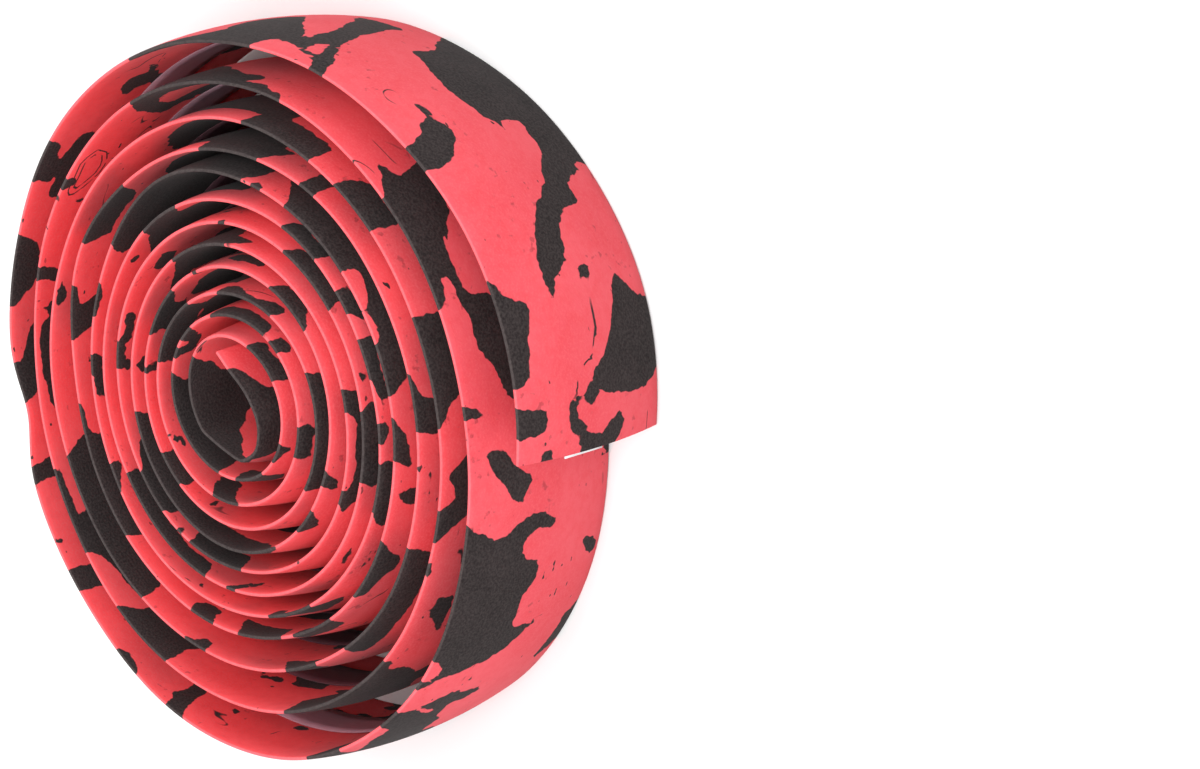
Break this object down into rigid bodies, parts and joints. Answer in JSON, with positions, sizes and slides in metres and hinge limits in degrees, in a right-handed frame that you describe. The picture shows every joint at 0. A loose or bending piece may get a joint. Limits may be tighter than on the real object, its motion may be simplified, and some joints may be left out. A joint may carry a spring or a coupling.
{
  "type": "handlebar tape roll",
  "caption": "Loose flat roll of marbled soft foam handlebar tape, with a narrow release paper on its inner face.",
  "frame": {"origin": "on the surface the roll lies on, under the middle of its outline", "axes": "+Z along the roll's axis, up from the lower long edge of the strip; the free end is on the +X side"},
  "size_m": [0.1146, 0.1124, 0.03],
  "materials": {
    "marbled_foam": "matt closed-cell foam, coral red with charcoal marbling",
    "release_paper": "smooth coated paper, off-white"
  },
  "bodies": {
    "root": {"foam_strip": "marbled_foam", "release_paper": "release_paper"}
  },
  "joints": []
}
